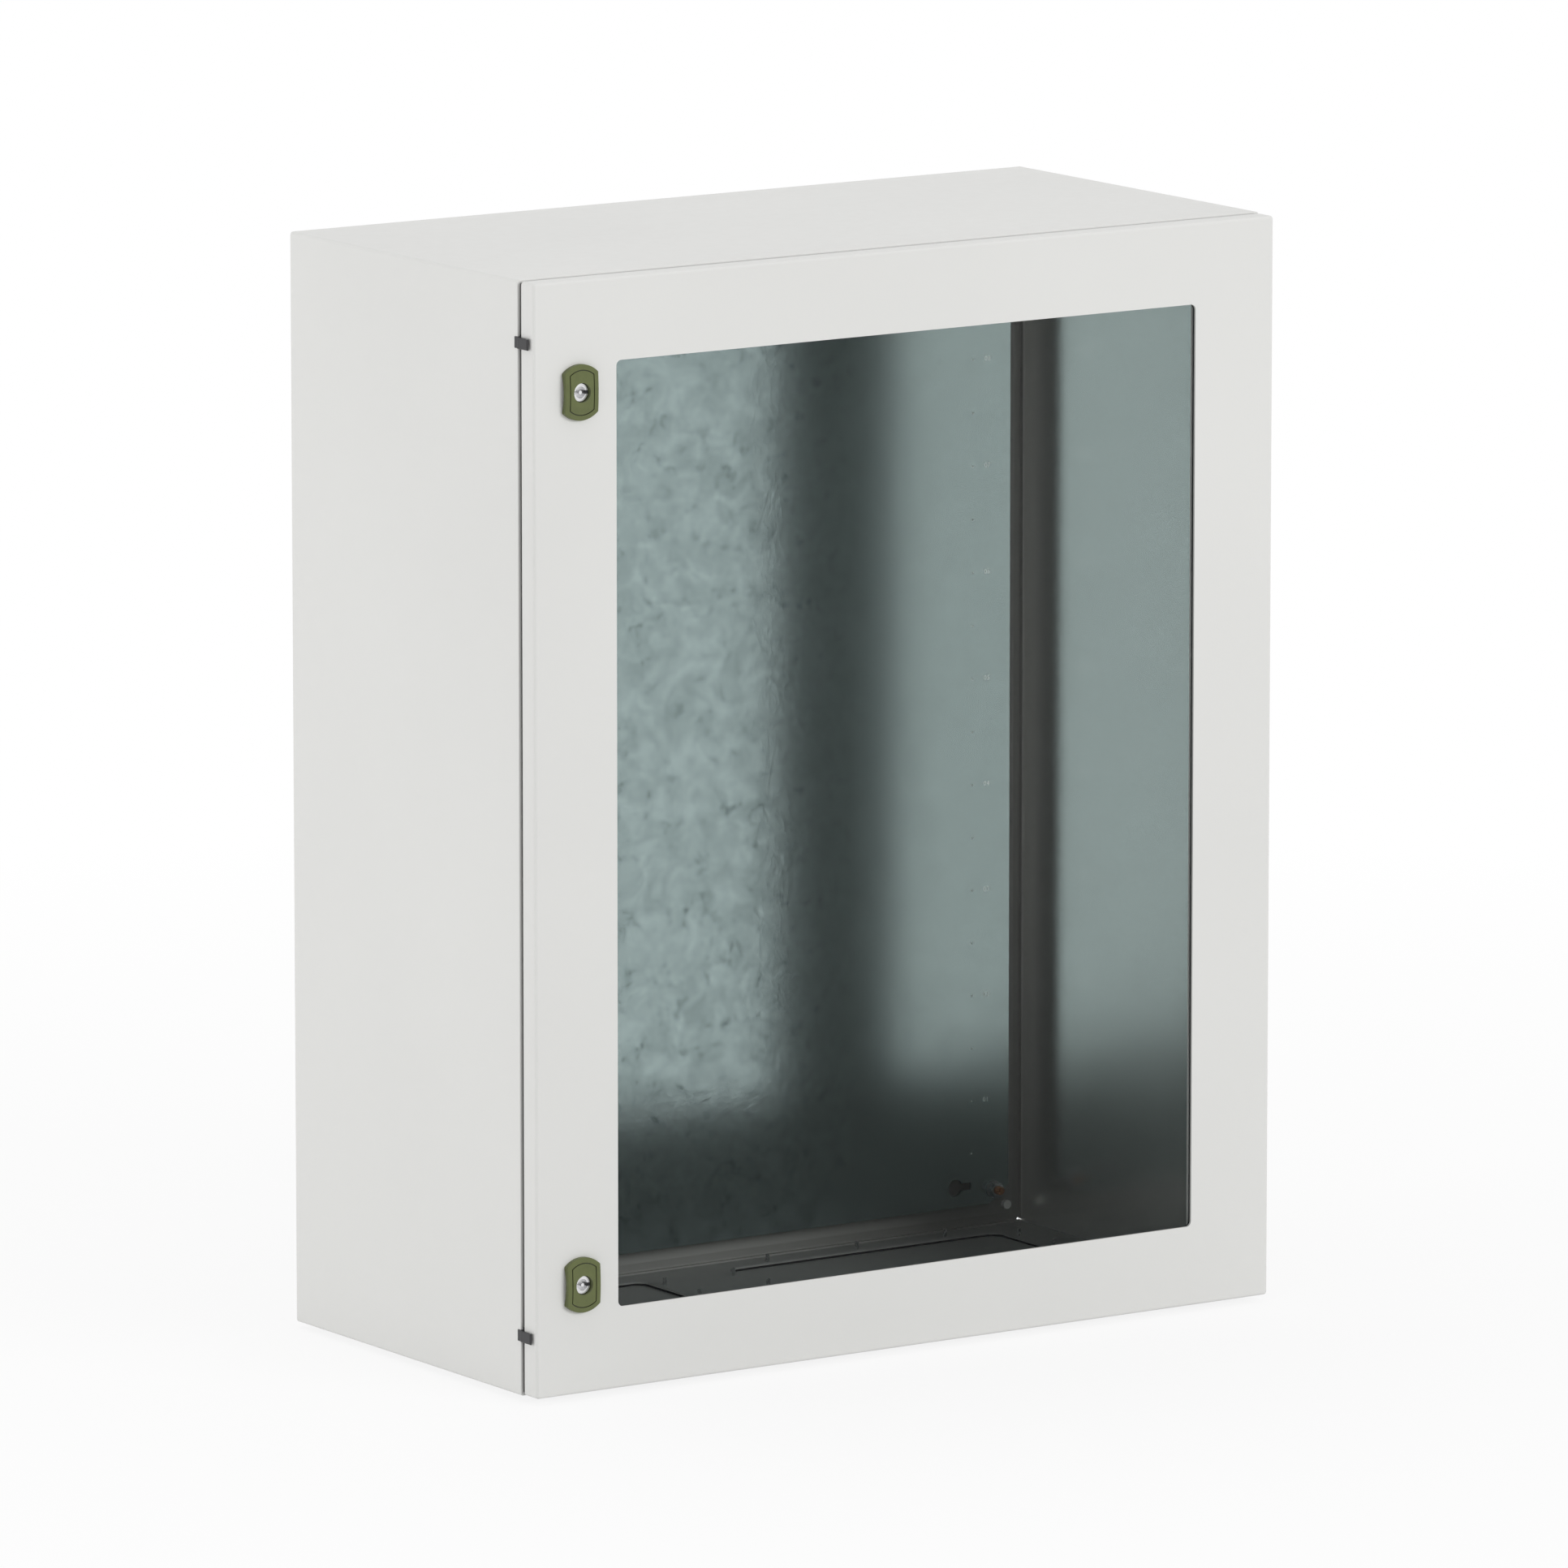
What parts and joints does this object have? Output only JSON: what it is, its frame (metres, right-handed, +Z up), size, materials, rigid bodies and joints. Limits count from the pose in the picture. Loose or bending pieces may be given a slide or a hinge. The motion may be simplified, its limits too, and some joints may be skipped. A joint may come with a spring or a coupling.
{
  "type": "electrical enclosure",
  "caption": "Wall-mounted sheet-steel electrical enclosure with a hinged glazed door, quarter-turn locks, a mounting plate and cable gland plates.",
  "frame": {"origin": "under the middle of the base, at the underside of the gland plates", "axes": "+Z up, the door faces -Y, its hinges are at +X"},
  "size_m": [0.8028, 0.4061, 1.005],
  "materials": {
    "grey_paint": "fine textured powder coat",
    "galvanised_sheet": "galvanised, spangled",
    "tinted_glass": "clear safety glass with a green-blue tint",
    "black_seal": "matte",
    "foam_gasket": "foamed polyurethane",
    "black_plastic": "moulded",
    "olive_plastic": "moulded, satin",
    "pale_plastic": "moulded",
    "die_cast": "nickel-plated die casting",
    "copper_plated": "copper-plated weld stud",
    "zinc_plated": "zinc plated"
  },
  "bodies": {
    "cabinet": {"back_panel": "grey_paint", "body_earth_nut": "zinc_plated", "body_earth_stud": "copper_plated", "body_earth_washer": "zinc_plated", "body_shell": "grey_paint", "gland_plate_left": "grey_paint", "gland_plate_right": "grey_paint", "gland_screws": "zinc_plated", "gland_seal_left": "black_seal", "gland_seal_right": "black_seal", "hinge_arm_lower": "die_cast", "hinge_arm_upper": "die_cast", "hinge_screws": "zinc_plated", "mounting_plate": "galvanised_sheet", "notch_plug_lower": "black_plastic", "notch_plug_upper": "black_plastic", "plate_nuts": "zinc_plated", "plate_spacers": "zinc_plated", "plate_studs": "copper_plated", "plate_washers": "zinc_plated", "wall_hole_caps": "pale_plastic"},
    "door": {"door_earth_nut": "zinc_plated", "door_earth_stud": "copper_plated", "door_earth_washer": "zinc_plated", "door_gasket": "foam_gasket", "door_panel": "grey_paint", "glass_strip_bottom": "grey_paint", "glass_strip_left": "grey_paint", "glass_strip_nuts": "zinc_plated", "glass_strip_right": "grey_paint", "glass_strip_studs": "copper_plated", "glass_strip_top": "grey_paint", "hinge_bracket_lower": "die_cast", "hinge_bracket_upper": "die_cast", "hinge_pin_lower": "zinc_plated", "hinge_pin_upper": "zinc_plated", "lock_cap_lower": "olive_plastic", "lock_cap_upper": "olive_plastic", "lock_housing_lower": "black_plastic", "lock_housing_upper": "black_plastic", "lock_nut_lower": "zinc_plated", "lock_nut_upper": "zinc_plated", "window_glass": "tinted_glass", "window_seal": "black_seal"},
    "lock_upper": {"lock_spindle_upper": "die_cast", "lock_cam_upper": "zinc_plated", "lock_cam_screw_upper": "zinc_plated"},
    "lock_lower": {"lock_spindle_lower": "die_cast", "lock_cam_lower": "zinc_plated", "lock_cam_screw_lower": "zinc_plated"}
  },
  "joints": [
    {"name": "door_hinge", "type": "hinge", "parent": "cabinet", "child": "door", "pos_m": [0.392, -0.1895, 0.505], "axis": [0, 0, 1], "range_deg": [0, 120]},
    {"name": "lock_upper_turn", "type": "hinge", "parent": "door", "child": "lock_upper", "pos_m": [-0.352, -0.19, 0.905], "axis": [0, -1, 0], "range_deg": [0, 90]},
    {"name": "lock_lower_turn", "type": "hinge", "parent": "door", "child": "lock_lower", "pos_m": [-0.352, -0.19, 0.105], "axis": [0, -1, 0], "range_deg": [0, 90]}
  ]
}
